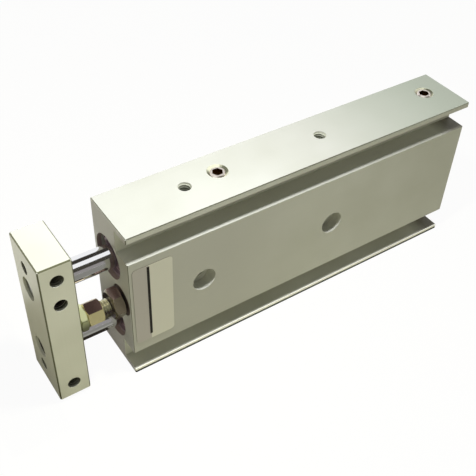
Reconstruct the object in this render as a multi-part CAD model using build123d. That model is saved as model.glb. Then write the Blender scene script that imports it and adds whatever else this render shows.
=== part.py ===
from build123d import *
from math import cos, radians, sin
import os

os.makedirs("parts", exist_ok=True)

# Row frame: +X from the rod end towards the head end, -Y the front face with
# the switch grooves, +Z up along the 46 mm width. The origin is the centre of
# the narrow face that the cylinder stands on. All sizes are in millimetres.

# Housing block. Its length follows from what stands in line in a bore.
HOUSING_THICKNESS = 17.0
HOUSING_HEIGHT = 46.0
HOUSING_EDGE_BREAK = 0.2

# Two bores side by side, a little behind the middle plane so that the
# switch grooves fit in front of them.
BORE_DIAMETER = 10.0
BORE_PITCH = 20.0
BORE_FROM_FRONT = 10.0
STROKE = 50.0
HEAD_END_CLEARANCE = 2.8

# Clearances that every fit is made from.
STATIC_CLEARANCE = 0.02
RUNNING_CLEARANCE = 0.03
PISTON_CLEARANCE = 0.08
THREAD_CLEARANCE = 0.02

# Overrun of every cut beyond the face that it starts from.
CUT_MARGIN = 1.0

# Wide bore ends, each closed by a cover and a retaining ring.
MOUTH_DIAMETER = 11.8
RING_INSET = 1.2
RING_THICKNESS = 0.8
RING_GROOVE_DEPTH = 0.3
RING_GROOVE_SIDE_PLAY = 0.04
RING_RADIAL_WIDTH = 1.0
RING_GAP_ANGLE = 56.0
RING_LUG_RADIUS = 1.0
RING_LUG_SINK = 0.43
RING_LUG_ANGLE = 9.0
RING_LUG_HOLE_DIAMETER = 1.0

# Rod covers, which guide the rods and carry the rod seals.
ROD_COVER_FLANGE_LENGTH = 10.0
ROD_COVER_GUIDE_LENGTH = 13.0
ROD_COVER_GROOVE_INSET = 4.2
COVER_GROOVE_WIDTH = 1.5
COVER_GROOVE_DEPTH = 1.0
O_RING_SIDE_PLAY = 0.05
SEAL_POCKET_DIAMETER = 9.4
SEAL_POCKET_DEPTH = 3.4
SEAL_LENGTH = 2.6
SEAL_RETAINER_THICKNESS = 0.6
SEAL_RETAINER_ROD_GAP = 0.4

# Head covers and the soft stops on them.
HEAD_COVER_THICKNESS = 3.5
HEAD_BUMPER_DIAMETER = 6.0
HEAD_BUMPER_THICKNESS = 0.9

# Switch grooves along the two long edges of the front face.
GROOVE_LIP = 1.5
GROOVE_WIDTH = 6.4
GROOVE_DEPTH = 5.5

# Holes that fasten the housing.
MOUNT_PITCH = 40.0
MOUNT_FROM_ROD_END = 20.3
MOUNT_HOLE_DIAMETER = 3.4
COUNTERBORE_DIAMETER = 6.5
COUNTERBORE_DEPTH = 3.3
M4_TAP_DIAMETER = 3.3
M4_DIAMETER = 4.0
EDGE_TAP_DEPTH = 5.0
EDGE_TAP_FROM_FRONT = 9.0

# Air ports and the passages between the two bores.
ROD_PORT_FROM_ROD_END = 30.0
HEAD_PORT_FROM_HEAD_END = 7.4
PORT_TAP_DIAMETER = 4.2
PORT_CHAMFER = 0.55
PORT_DEPTH = 4.5
PASSAGE_DIAMETER = 2.2
PORT_PLUG_LENGTH = 3.2
PORT_PLUG_INSET = 0.2
PORT_PLUG_SOCKET = 2.5
PORT_PLUG_SOCKET_DEPTH = 1.8
PORT_PLUG_EDGE_BREAK = 0.3

# Stroke adjuster: its axis lies between the rods, nearer to the front.
ADJUSTER_FROM_FRONT = 4.7
ADJUSTER_HEAD_WIDTH = 7.0
ADJUSTER_HEAD_LENGTH = 2.9
ADJUSTER_HEAD_GAP = 0.4
ADJUSTER_HEAD_TURN = 0.0
ADJUSTER_SHANK_DIAMETER = 4.0
ADJUSTER_PLATE_DEPTH = 6.5
SLEEVE_WIDTH = 5.5
SLEEVE_LENGTH = 4.1
SLEEVE_TURN = 15.0
LOCK_NUT_WIDTH = 6.0
LOCK_NUT_THICKNESS = 2.0
LOCK_NUT_TURN = 34.0
HEX_CORNER_BREAK = 0.3
ADJUSTER_HOLE_ROOM = 0.5
END_BUMPER_DIAMETER = 8.3
END_BUMPER_THICKNESS = 1.8
END_BUMPER_RECESS_DEPTH = 2.0

# Plate that ties the two rods together.
PLATE_GAP = 11.7
PLATE_THICKNESS = 8.0
PLATE_DEPTH = 15.0
PLATE_HEIGHT = 44.0
PLATE_FROM_FRONT = 1.6
PLATE_EDGE_BREAK = 0.3
PLATE_FACE_PITCH = 33.0
PLATE_SIDE_PITCH = 35.0
PLATE_SIDE_TAP_DEPTH = 11.0
ROD_A_END_INSET = 0.5
ROD_B_SOCKET_DEPTH = 3.0
CAP_SCREW_HEAD_DIAMETER = 5.5
CAP_SCREW_HEAD_LENGTH = 2.6
CAP_SCREW_SHANK_DIAMETER = 3.0
CAP_SCREW_SHANK_LENGTH = 9.0
CAP_SCREW_HOLE_CLEARANCE = 0.2
CAP_SCREW_WELL_CLEARANCE = 0.15
CAP_SCREW_WELL_DEPTH = 3.2
CAP_SCREW_SOCKET = 2.5
CAP_SCREW_SOCKET_DEPTH = 1.3
CAP_SCREW_HOLE_ROOM = 1.0
SET_SCREW_LENGTH = 4.0
SET_SCREW_SOCKET = 2.0
SET_SCREW_SOCKET_DEPTH = 1.6

# Piston rods.
ROD_DIAMETER = 6.0
ROD_END_CHAMFER = 0.4
SPIGOT_DIAMETER = 4.0

# Pistons, from the rod cover towards the head cover.
PISTON_END_PLAY = 0.1
PISTON_BUMPER_DIAMETER = 8.2
PISTON_BUMPER_THICKNESS = 1.5
PISTON_NOSE_DIAMETER = 8.6
PISTON_NOSE_LENGTH = 6.0
PISTON_ROD_SOCKET_DEPTH = 3.4
PISTON_FRONT_LAND = 2.4
PISTON_SEAL_WIDTH = 2.0
PISTON_SEAL_SIDE_PLAY = 0.1
PISTON_SEAL_BOTTOM_DIAMETER = 7.0
PISTON_REAR_LAND = 0.9
MAGNET_WIDTH = 4.0
MAGNET_DIAMETER = 9.3
MAGNET_BORE_DIAMETER = 6.6
PISTON_CLAMP_LENGTH = 1.9
PISTON_NUT_WIDTH = 7.0
PISTON_NUT_THICKNESS = 1.8

# Foil on the front face.
LABEL_FROM_ROD_END = 0.9
LABEL_LENGTH = 10.5
LABEL_HEIGHT = 25.0
LABEL_BOTTOM = 10.9
LABEL_THICKNESS = 0.12
LABEL_CORNER_RADIUS = 1.0

# Positions that follow from the sizes above.
PISTON_SEAL_ROOM = PISTON_SEAL_WIDTH + 2 * PISTON_SEAL_SIDE_PLAY
ROD_END_STACK = RING_INSET + RING_THICKNESS + ROD_COVER_FLANGE_LENGTH + ROD_COVER_GUIDE_LENGTH
PISTON_FRONT_STACK = PISTON_BUMPER_THICKNESS + PISTON_NOSE_LENGTH + PISTON_FRONT_LAND
PISTON_REAR_STACK = PISTON_REAR_LAND + MAGNET_WIDTH + PISTON_CLAMP_LENGTH + PISTON_NUT_THICKNESS
PISTON_STACK = PISTON_FRONT_STACK + PISTON_SEAL_ROOM + PISTON_REAR_STACK
HEAD_END_STACK = HEAD_BUMPER_THICKNESS + HEAD_COVER_THICKNESS + RING_THICKNESS + RING_INSET
TRAVEL_ROOM = PISTON_END_PLAY + STROKE + HEAD_END_CLEARANCE
HOUSING_LENGTH = ROD_END_STACK + TRAVEL_ROOM + PISTON_STACK + HEAD_END_STACK
ROD_END_X = -HOUSING_LENGTH / 2
HEAD_END_X = HOUSING_LENGTH / 2
FRONT_Y = -HOUSING_THICKNESS / 2
BACK_Y = HOUSING_THICKNESS / 2
MIDDLE_Z = HOUSING_HEIGHT / 2
BORE_Y = FRONT_Y + BORE_FROM_FRONT
BORE_A_Z = MIDDLE_Z + BORE_PITCH / 2
BORE_B_Z = MIDDLE_Z - BORE_PITCH / 2
BORE_HEIGHTS = (BORE_A_Z, BORE_B_Z)

COVER_FACE_X = ROD_END_X + RING_INSET + RING_THICKNESS
COVER_SHOULDER_X = COVER_FACE_X + ROD_COVER_FLANGE_LENGTH
COVER_INNER_X = COVER_SHOULDER_X + ROD_COVER_GUIDE_LENGTH
HEAD_FACE_X = HEAD_END_X - RING_INSET - RING_THICKNESS
HEAD_INNER_X = HEAD_FACE_X - HEAD_COVER_THICKNESS

ROD_PORT_X = ROD_END_X + ROD_PORT_FROM_ROD_END
HEAD_PORT_X = HEAD_END_X - HEAD_PORT_FROM_HEAD_END
PORT_XS = (ROD_PORT_X, HEAD_PORT_X)
MOUNT_XS = (ROD_END_X + MOUNT_FROM_ROD_END, ROD_END_X + MOUNT_FROM_ROD_END + MOUNT_PITCH)
EDGE_TAP_Y = FRONT_Y + EDGE_TAP_FROM_FRONT

PLATE_REAR_X = ROD_END_X - PLATE_GAP
PLATE_OUTER_X = PLATE_REAR_X - PLATE_THICKNESS
PLATE_MIDDLE_X = (PLATE_REAR_X + PLATE_OUTER_X) / 2
PLATE_FRONT_Y = FRONT_Y + PLATE_FROM_FRONT
PLATE_BACK_Y = PLATE_FRONT_Y + PLATE_DEPTH
ADJUSTER_Y = FRONT_Y + ADJUSTER_FROM_FRONT

BUMPER_X = COVER_INNER_X + PISTON_END_PLAY + STROKE
NOSE_X = BUMPER_X + PISTON_BUMPER_THICKNESS
ROD_SHOULDER_X = NOSE_X + PISTON_ROD_SOCKET_DEPTH
LAND_X = NOSE_X + PISTON_NOSE_LENGTH
SEAL_X = LAND_X + PISTON_FRONT_LAND
SEAL_END_X = SEAL_X + PISTON_SEAL_ROOM
MAGNET_X = SEAL_END_X + PISTON_REAR_LAND
CLAMP_X = MAGNET_X + MAGNET_WIDTH
NUT_X = CLAMP_X + PISTON_CLAMP_LENGTH
PISTON_END_X = NUT_X + PISTON_NUT_THICKNESS

PISTON_RADIUS = BORE_DIAMETER / 2 - PISTON_CLEARANCE
MOUTH_RADIUS = MOUTH_DIAMETER / 2
COVER_RADIUS = MOUTH_RADIUS - STATIC_CLEARANCE
ROD_RADIUS = ROD_DIAMETER / 2
SPIGOT_RADIUS = SPIGOT_DIAMETER / 2
ACROSS_CORNERS = 2 / 3 ** 0.5


def bar_x(x_start, x_end, radius, y, z):
    """Round bar along X."""
    centre = (x_start + x_end) / 2
    return Pos(centre, y, z) * Rot(0, 90, 0) * Cylinder(radius, x_end - x_start)


def bar_y(y_start, y_end, radius, x, z):
    """Round bar along Y."""
    centre = (y_start + y_end) / 2
    return Pos(x, centre, z) * Rot(90, 0, 0) * Cylinder(radius, y_end - y_start)


def bar_z(z_start, z_end, radius, x, y):
    """Round bar along Z."""
    centre = (z_start + z_end) / 2
    return Pos(x, y, centre) * Cylinder(radius, z_end - z_start)


def ring_x(x_start, x_end, outer_radius, inner_radius, y, z):
    """Flat ring along X."""
    outer = bar_x(x_start, x_end, outer_radius, y, z)
    return outer - bar_x(x_start - CUT_MARGIN, x_end + CUT_MARGIN, inner_radius, y, z)


def box(x_start, x_end, y_start, y_end, z_start, z_end):
    """Block between two opposite corners."""
    centre = Pos((x_start + x_end) / 2, (y_start + y_end) / 2, (z_start + z_end) / 2)
    return centre * Box(x_end - x_start, y_end - y_start, z_end - z_start)


def turned(profile, y, z):
    """Solid turned around a bore axis from (x, radius) points."""
    points = [(x, 0, radius) for x, radius in profile]
    face = make_face(Polyline(points, close=True))
    return Pos(0, y, z) * revolve(face, Axis.X, 360)


def hexagon(plane, width, length, turn=0):
    """Hexagonal bar standing on a plane; a turn of 0 puts a corner on its X."""
    outline = plane * Rot(0, 0, turn) * RegularPolygon(width / 2 * ACROSS_CORNERS, 6)
    return extrude(outline, amount=length)


def across_x(x, y, z):
    """Plane across the X direction with its own X along +Y."""
    return Plane(origin=(x, y, z), x_dir=(0, 1, 0), z_dir=(1, 0, 0))


def hex_piece(x_start, length, width, y, z, turn):
    """Hexagon along X with its corners broken at both ends."""
    corner = width / 2 * ACROSS_CORNERS
    x_end = x_start + length
    profile = [
        (x_start, 0),
        (x_start, width / 2),
        (x_start + HEX_CORNER_BREAK, corner),
        (x_end - HEX_CORNER_BREAK, corner),
        (x_end, width / 2),
        (x_end, 0),
    ]
    blank = hexagon(across_x(x_start, y, z), width, length, turn)
    return blank & turned(profile, y, z)


def retaining_ring(x_start, y, z):
    """Open ring in the mouth groove with two eyes for the pliers."""
    x_end = x_start + RING_THICKNESS
    outer_radius = MOUTH_RADIUS + RING_GROOVE_DEPTH - STATIC_CLEARANCE
    inner_radius = outer_radius - RING_RADIAL_WIDTH
    ring = ring_x(x_start, x_end, outer_radius, inner_radius, y, z)
    reach = 2 * outer_radius
    half_gap = radians(RING_GAP_ANGLE / 2)
    upper = (reach * cos(half_gap), reach * sin(half_gap))
    lower = (reach * cos(half_gap), -reach * sin(half_gap))
    wedge = make_face(Polyline([(0, 0), lower, upper], close=True))
    wedge_length = RING_THICKNESS + 2 * CUT_MARGIN
    ring -= extrude(across_x(x_start - CUT_MARGIN, y, z) * wedge, amount=wedge_length)
    eye_circle = inner_radius - RING_LUG_SINK
    hole_start = x_start - CUT_MARGIN
    hole_end = x_end + CUT_MARGIN
    for side in (-1, 1):
        angle = side * radians(RING_GAP_ANGLE / 2 + RING_LUG_ANGLE)
        eye_y = y + eye_circle * cos(angle)
        eye_z = z + eye_circle * sin(angle)
        ring += bar_x(x_start, x_end, RING_LUG_RADIUS, eye_y, eye_z)
        ring -= bar_x(hole_start, hole_end, RING_LUG_HOLE_DIAMETER / 2, eye_y, eye_z)
    return ring


# Housing: one aluminium block with both bores, the switch grooves, the
# mounting holes, the ports and the recess that holds the end bumper.
before_rod_end = ROD_END_X - CUT_MARGIN
past_head_end = HEAD_END_X + CUT_MARGIN
before_front = FRONT_Y - CUT_MARGIN
past_back = BACK_Y + CUT_MARGIN
past_top = HOUSING_HEIGHT + CUT_MARGIN
housing = box(ROD_END_X, HEAD_END_X, FRONT_Y, BACK_Y, 0, HOUSING_HEIGHT)
housing = chamfer(housing.edges(), HOUSING_EDGE_BREAK)
for groove_z in (GROOVE_LIP, HOUSING_HEIGHT - GROOVE_LIP - GROOVE_WIDTH):
    groove_top = groove_z + GROOVE_WIDTH
    groove_floor = FRONT_Y + GROOVE_DEPTH
    housing -= box(before_rod_end, past_head_end, before_front, groove_floor, groove_z, groove_top)
for bore_z in BORE_HEIGHTS:
    housing -= bar_x(before_rod_end, COVER_SHOULDER_X, MOUTH_RADIUS, BORE_Y, bore_z)
    housing -= bar_x(COVER_FACE_X, HEAD_END_X, BORE_DIAMETER / 2, BORE_Y, bore_z)
    housing -= bar_x(HEAD_INNER_X, past_head_end, MOUTH_RADIUS, BORE_Y, bore_z)
    groove_radius = MOUTH_RADIUS + RING_GROOVE_DEPTH
    groove_start = ROD_END_X + RING_INSET - RING_GROOVE_SIDE_PLAY
    groove_end = COVER_FACE_X + RING_GROOVE_SIDE_PLAY
    housing -= bar_x(groove_start, groove_end, groove_radius, BORE_Y, bore_z)
    groove_start = HEAD_FACE_X - RING_GROOVE_SIDE_PLAY
    groove_end = HEAD_END_X - RING_INSET + RING_GROOVE_SIDE_PLAY
    housing -= bar_x(groove_start, groove_end, groove_radius, BORE_Y, bore_z)
for mount_x in MOUNT_XS:
    housing -= bar_y(before_front, past_back, MOUNT_HOLE_DIAMETER / 2, mount_x, MIDDLE_Z)
    front_floor = FRONT_Y + COUNTERBORE_DEPTH
    back_floor = BACK_Y - COUNTERBORE_DEPTH
    housing -= bar_y(before_front, front_floor, COUNTERBORE_DIAMETER / 2, mount_x, MIDDLE_Z)
    housing -= bar_y(back_floor, past_back, COUNTERBORE_DIAMETER / 2, mount_x, MIDDLE_Z)
    tap_floor = HOUSING_HEIGHT - EDGE_TAP_DEPTH
    housing -= bar_z(tap_floor, past_top, M4_TAP_DIAMETER / 2, mount_x, EDGE_TAP_Y)
    housing -= bar_z(-CUT_MARGIN, EDGE_TAP_DEPTH, M4_TAP_DIAMETER / 2, mount_x, EDGE_TAP_Y)
for port_x in PORT_XS:
    housing -= bar_z(-CUT_MARGIN, past_top, PASSAGE_DIAMETER / 2, port_x, BORE_Y)
    port_floor = HOUSING_HEIGHT - PORT_DEPTH
    housing -= bar_z(port_floor, past_top, PORT_TAP_DIAMETER / 2, port_x, BORE_Y)
    housing -= bar_z(-CUT_MARGIN, PORT_DEPTH, PORT_TAP_DIAMETER / 2, port_x, BORE_Y)
    tap_radius = PORT_TAP_DIAMETER / 2
    flare = Cone(tap_radius, tap_radius + PORT_CHAMFER, PORT_CHAMFER)
    housing -= Pos(port_x, BORE_Y, HOUSING_HEIGHT - PORT_CHAMFER / 2) * flare
    housing -= Pos(port_x, BORE_Y, PORT_CHAMFER / 2) * Rot(180, 0, 0) * flare
recess_radius = END_BUMPER_DIAMETER / 2 + STATIC_CLEARANCE
recess_floor = ROD_END_X + END_BUMPER_RECESS_DEPTH
housing -= bar_x(before_rod_end, recess_floor, recess_radius, ADJUSTER_Y, MIDDLE_Z)

# End bumper: urethane disc that the adjuster's head comes up against.
bumper_face = recess_floor - END_BUMPER_THICKNESS
end_bumper = bar_x(bumper_face, recess_floor, END_BUMPER_DIAMETER / 2, ADJUSTER_Y, MIDDLE_Z)


# Rod covers: each fills the rod end of a bore, guides the rod and holds
# the rod seal in a pocket behind a thin retainer.
def rod_cover(bore_z):
    cover = bar_x(COVER_FACE_X, COVER_SHOULDER_X, COVER_RADIUS, BORE_Y, bore_z)
    guide_radius = BORE_DIAMETER / 2 - STATIC_CLEARANCE
    cover += bar_x(COVER_FACE_X, COVER_INNER_X, guide_radius, BORE_Y, bore_z)
    hole_radius = ROD_RADIUS + RUNNING_CLEARANCE
    cut_start = COVER_FACE_X - CUT_MARGIN
    cut_end = COVER_INNER_X + CUT_MARGIN
    cover -= bar_x(cut_start, cut_end, hole_radius, BORE_Y, bore_z)
    pocket_end = COVER_FACE_X + SEAL_POCKET_DEPTH
    cover -= bar_x(cut_start, pocket_end, SEAL_POCKET_DIAMETER / 2, BORE_Y, bore_z)
    groove_x = COVER_FACE_X + ROD_COVER_GROOVE_INSET
    bottom_radius = COVER_RADIUS - COVER_GROOVE_DEPTH
    groove_end = groove_x + COVER_GROOVE_WIDTH
    cut_radius = COVER_RADIUS + CUT_MARGIN
    cover -= ring_x(groove_x, groove_end, cut_radius, bottom_radius, BORE_Y, bore_z)
    return cover


def rod_seal(bore_z):
    x_end = COVER_FACE_X + SEAL_POCKET_DEPTH
    x_start = x_end - SEAL_LENGTH
    outer_radius = SEAL_POCKET_DIAMETER / 2 - STATIC_CLEARANCE
    inner_radius = ROD_RADIUS + RUNNING_CLEARANCE
    return ring_x(x_start, x_end, outer_radius, inner_radius, BORE_Y, bore_z)


def seal_retainer(bore_z):
    x_end = COVER_FACE_X + SEAL_POCKET_DEPTH - SEAL_LENGTH
    x_start = x_end - SEAL_RETAINER_THICKNESS
    outer_radius = SEAL_POCKET_DIAMETER / 2 - STATIC_CLEARANCE
    inner_radius = ROD_RADIUS + SEAL_RETAINER_ROD_GAP
    return ring_x(x_start, x_end, outer_radius, inner_radius, BORE_Y, bore_z)


def cover_o_ring(groove_x, bore_z):
    outer_radius = MOUTH_RADIUS - STATIC_CLEARANCE
    inner_radius = COVER_RADIUS - COVER_GROOVE_DEPTH + STATIC_CLEARANCE
    x_start = groove_x + O_RING_SIDE_PLAY
    x_end = groove_x + COVER_GROOVE_WIDTH - O_RING_SIDE_PLAY
    return ring_x(x_start, x_end, outer_radius, inner_radius, BORE_Y, bore_z)


rod_groove_x = COVER_FACE_X + ROD_COVER_GROOVE_INSET
rod_cover_o_rings = Compound(children=[cover_o_ring(rod_groove_x, z) for z in BORE_HEIGHTS])
seal_retainers = Compound(children=[seal_retainer(z) for z in BORE_HEIGHTS])
ring_x_start = ROD_END_X + RING_INSET
rod_rings = Compound(children=[retaining_ring(ring_x_start, BORE_Y, z) for z in BORE_HEIGHTS])


# Head covers: plain discs that close the other end of the bores, each with
# a soft stop on its inner face.
def head_cover(bore_z):
    cover = bar_x(HEAD_INNER_X, HEAD_FACE_X, COVER_RADIUS, BORE_Y, bore_z)
    middle = (HEAD_INNER_X + HEAD_FACE_X) / 2
    bottom_radius = COVER_RADIUS - COVER_GROOVE_DEPTH
    groove_start = middle - COVER_GROOVE_WIDTH / 2
    groove_end = middle + COVER_GROOVE_WIDTH / 2
    cut_radius = COVER_RADIUS + CUT_MARGIN
    cover -= ring_x(groove_start, groove_end, cut_radius, bottom_radius, BORE_Y, bore_z)
    return cover


def head_bumper(bore_z):
    x_start = HEAD_INNER_X - HEAD_BUMPER_THICKNESS
    return bar_x(x_start, HEAD_INNER_X, HEAD_BUMPER_DIAMETER / 2, BORE_Y, bore_z)


head_groove_x = (HEAD_INNER_X + HEAD_FACE_X - COVER_GROOVE_WIDTH) / 2
head_cover_o_rings = Compound(children=[cover_o_ring(head_groove_x, z) for z in BORE_HEIGHTS])
head_rings = Compound(children=[retaining_ring(HEAD_FACE_X, BORE_Y, z) for z in BORE_HEIGHTS])
head_bumpers = Compound(children=[head_bumper(z) for z in BORE_HEIGHTS])


# Port plugs: hexagon socket plugs in the two upper ports.
def port_plug(port_x):
    top = HOUSING_HEIGHT - PORT_PLUG_INSET
    radius = PORT_TAP_DIAMETER / 2 - STATIC_CLEARANCE
    plug = bar_z(top - PORT_PLUG_LENGTH, top, radius, port_x, BORE_Y)
    plug = chamfer(plug.edges().filter_by(GeomType.CIRCLE), PORT_PLUG_EDGE_BREAK)
    socket_floor = Plane(origin=(port_x, BORE_Y, top - PORT_PLUG_SOCKET_DEPTH))
    plug -= hexagon(socket_floor, PORT_PLUG_SOCKET, PORT_PLUG_SOCKET_DEPTH + CUT_MARGIN)
    return plug


port_plugs = Compound(children=[port_plug(x) for x in PORT_XS])

# Plate: ties the rods together and carries the load, the adjuster and the
# fastenings of both rods.
plate_bottom = MIDDLE_Z - PLATE_HEIGHT / 2
plate_top = MIDDLE_Z + PLATE_HEIGHT / 2
plate = box(PLATE_OUTER_X, PLATE_REAR_X, PLATE_FRONT_Y, PLATE_BACK_Y, plate_bottom, plate_top)
plate = chamfer(plate.edges(), PLATE_EDGE_BREAK)
before_plate = PLATE_OUTER_X - CUT_MARGIN
past_plate = PLATE_REAR_X + CUT_MARGIN
before_plate_front = PLATE_FRONT_Y - CUT_MARGIN
rod_hole_radius = ROD_RADIUS + STATIC_CLEARANCE
plate -= bar_x(before_plate, past_plate, rod_hole_radius, BORE_Y, BORE_A_Z)
socket_x = PLATE_REAR_X - ROD_B_SOCKET_DEPTH
plate -= bar_x(socket_x, past_plate, rod_hole_radius, BORE_Y, BORE_B_Z)
well_floor = PLATE_OUTER_X + CAP_SCREW_WELL_DEPTH
well_radius = CAP_SCREW_HEAD_DIAMETER / 2 + CAP_SCREW_WELL_CLEARANCE
plate -= bar_x(before_plate, well_floor, well_radius, BORE_Y, BORE_B_Z)
screw_hole_radius = CAP_SCREW_SHANK_DIAMETER / 2 + CAP_SCREW_HOLE_CLEARANCE
plate -= bar_x(PLATE_OUTER_X, PLATE_REAR_X, screw_hole_radius, BORE_Y, BORE_B_Z)
for side in (-1, 1):
    face_tap_z = MIDDLE_Z + side * PLATE_FACE_PITCH / 2
    side_tap_z = MIDDLE_Z + side * PLATE_SIDE_PITCH / 2
    side_tap_end = PLATE_FRONT_Y + PLATE_SIDE_TAP_DEPTH
    tap_radius = M4_TAP_DIAMETER / 2
    plate -= bar_x(before_plate, past_plate, tap_radius, BORE_Y, face_tap_z)
    plate -= bar_y(before_plate_front, side_tap_end, tap_radius, PLATE_MIDDLE_X, side_tap_z)
plate -= bar_y(before_plate_front, BORE_Y, M4_TAP_DIAMETER / 2, PLATE_MIDDLE_X, BORE_A_Z)
adjuster_tip = PLATE_REAR_X - ADJUSTER_PLATE_DEPTH
adjuster_hole_floor = adjuster_tip - ADJUSTER_HOLE_ROOM
adjuster_hole_radius = ADJUSTER_SHANK_DIAMETER / 2 + THREAD_CLEARANCE
plate -= bar_x(adjuster_hole_floor, past_plate, adjuster_hole_radius, ADJUSTER_Y, MIDDLE_Z)

# Piston rods: rod A runs through the plate, rod B ends in a socket in it.
# The thinner end of each carries the piston.
rod_a_start = PLATE_OUTER_X + ROD_A_END_INSET
piston_rod_a = bar_x(rod_a_start, ROD_SHOULDER_X, ROD_RADIUS, BORE_Y, BORE_A_Z)
outer_rim = piston_rod_a.edges().group_by(Axis.X)[0]
piston_rod_a = chamfer(outer_rim, ROD_END_CHAMFER)
piston_rod_a += bar_x(ROD_SHOULDER_X, PISTON_END_X, SPIGOT_RADIUS, BORE_Y, BORE_A_Z)

piston_rod_b = bar_x(socket_x, ROD_SHOULDER_X, ROD_RADIUS, BORE_Y, BORE_B_Z)
piston_rod_b += bar_x(ROD_SHOULDER_X, PISTON_END_X, SPIGOT_RADIUS, BORE_Y, BORE_B_Z)
screw_radius = CAP_SCREW_SHANK_DIAMETER / 2
screw_end = well_floor + CAP_SCREW_SHANK_LENGTH
rod_b_hole_radius = screw_radius + THREAD_CLEARANCE
rod_b_hole_end = screw_end + CAP_SCREW_HOLE_ROOM
rod_b_hole_start = socket_x - CUT_MARGIN
piston_rod_b -= bar_x(rod_b_hole_start, rod_b_hole_end, rod_b_hole_radius, BORE_Y, BORE_B_Z)

# Cap screw that holds rod B in its socket.
screw_face = well_floor - CAP_SCREW_HEAD_LENGTH
screw_head_radius = CAP_SCREW_HEAD_DIAMETER / 2
rod_b_cap_screw = bar_x(screw_face, well_floor, screw_head_radius, BORE_Y, BORE_B_Z)
rod_b_cap_screw += bar_x(well_floor, screw_end, screw_radius, BORE_Y, BORE_B_Z)
screw_socket = across_x(screw_face - CUT_MARGIN, BORE_Y, BORE_B_Z)
screw_socket_length = CAP_SCREW_SOCKET_DEPTH + CUT_MARGIN
rod_b_cap_screw -= hexagon(screw_socket, CAP_SCREW_SOCKET, screw_socket_length)

# Set screw that clamps rod A from the plate's front side.
set_screw_end = BORE_Y - ROD_RADIUS - STATIC_CLEARANCE
set_screw_start = set_screw_end - SET_SCREW_LENGTH
set_screw_radius = M4_TAP_DIAMETER / 2 - THREAD_CLEARANCE
rod_a_set_screw = bar_y(set_screw_start, set_screw_end, set_screw_radius, PLATE_MIDDLE_X, BORE_A_Z)
set_screw_origin = (PLATE_MIDDLE_X, set_screw_start - CUT_MARGIN, BORE_A_Z)
set_screw_plane = Plane(origin=set_screw_origin, x_dir=(1, 0, 0), z_dir=(0, 1, 0))
set_screw_socket_length = SET_SCREW_SOCKET_DEPTH + CUT_MARGIN
rod_a_set_screw -= hexagon(set_screw_plane, SET_SCREW_SOCKET, set_screw_socket_length)

# Stroke adjuster: lock nut on the plate, hexagon sleeve, and the bolt whose
# head stands just off the end bumper.
head_x = ROD_END_X - ADJUSTER_HEAD_GAP - ADJUSTER_HEAD_LENGTH
bumper_bolt = hex_piece(
    head_x, ADJUSTER_HEAD_LENGTH, ADJUSTER_HEAD_WIDTH, ADJUSTER_Y, MIDDLE_Z, ADJUSTER_HEAD_TURN
)
shank_radius = ADJUSTER_SHANK_DIAMETER / 2
bumper_bolt += bar_x(adjuster_tip, head_x, shank_radius, ADJUSTER_Y, MIDDLE_Z)

adjuster_bore = bar_x(adjuster_tip, head_x, adjuster_hole_radius, ADJUSTER_Y, MIDDLE_Z)
adjuster_lock_nut = hex_piece(
    PLATE_REAR_X, LOCK_NUT_THICKNESS, LOCK_NUT_WIDTH, ADJUSTER_Y, MIDDLE_Z, LOCK_NUT_TURN
)
adjuster_lock_nut -= adjuster_bore
sleeve_x = PLATE_REAR_X + LOCK_NUT_THICKNESS
adjuster_sleeve = hex_piece(
    sleeve_x, SLEEVE_LENGTH, SLEEVE_WIDTH, ADJUSTER_Y, MIDDLE_Z, SLEEVE_TURN
)
adjuster_sleeve -= adjuster_bore


# Pistons: a front body with the seal and the magnet's seat, and a rear ring
# that the nut clamps against the magnet.
def piston(bore_z):
    land_radius = PISTON_RADIUS
    nose_radius = PISTON_NOSE_DIAMETER / 2
    seal_hub = PISTON_SEAL_BOTTOM_DIAMETER / 2
    magnet_hub = MAGNET_BORE_DIAMETER / 2 - STATIC_CLEARANCE
    rod_fit = ROD_RADIUS + STATIC_CLEARANCE
    spigot_fit = SPIGOT_RADIUS + STATIC_CLEARANCE
    profile = [
        (NOSE_X, rod_fit),
        (NOSE_X, nose_radius),
        (LAND_X, nose_radius),
        (LAND_X, land_radius),
        (SEAL_X, land_radius),
        (SEAL_X, seal_hub),
        (SEAL_END_X, seal_hub),
        (SEAL_END_X, land_radius),
        (MAGNET_X, land_radius),
        (MAGNET_X, magnet_hub),
        (CLAMP_X, magnet_hub),
        (CLAMP_X, spigot_fit),
        (ROD_SHOULDER_X, spigot_fit),
        (ROD_SHOULDER_X, rod_fit),
    ]
    return turned(profile, BORE_Y, bore_z)


def piston_seal(bore_z):
    x_start = SEAL_X + PISTON_SEAL_SIDE_PLAY
    x_end = SEAL_END_X - PISTON_SEAL_SIDE_PLAY
    outer_radius = BORE_DIAMETER / 2 - RUNNING_CLEARANCE
    inner_radius = PISTON_SEAL_BOTTOM_DIAMETER / 2 + STATIC_CLEARANCE
    return ring_x(x_start, x_end, outer_radius, inner_radius, BORE_Y, bore_z)


def piston_magnet(bore_z):
    hub_radius = MAGNET_BORE_DIAMETER / 2
    return ring_x(MAGNET_X, CLAMP_X, MAGNET_DIAMETER / 2, hub_radius, BORE_Y, bore_z)


def piston_clamp(bore_z):
    hole_radius = SPIGOT_RADIUS + STATIC_CLEARANCE
    return ring_x(CLAMP_X, NUT_X, PISTON_RADIUS, hole_radius, BORE_Y, bore_z)


def piston_nut(bore_z):
    nut_plane = across_x(NUT_X, BORE_Y, bore_z)
    nut = hexagon(nut_plane, PISTON_NUT_WIDTH, PISTON_NUT_THICKNESS)
    hole_radius = SPIGOT_RADIUS + THREAD_CLEARANCE
    return nut - bar_x(CLAMP_X, PISTON_END_X + CUT_MARGIN, hole_radius, BORE_Y, bore_z)


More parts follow.
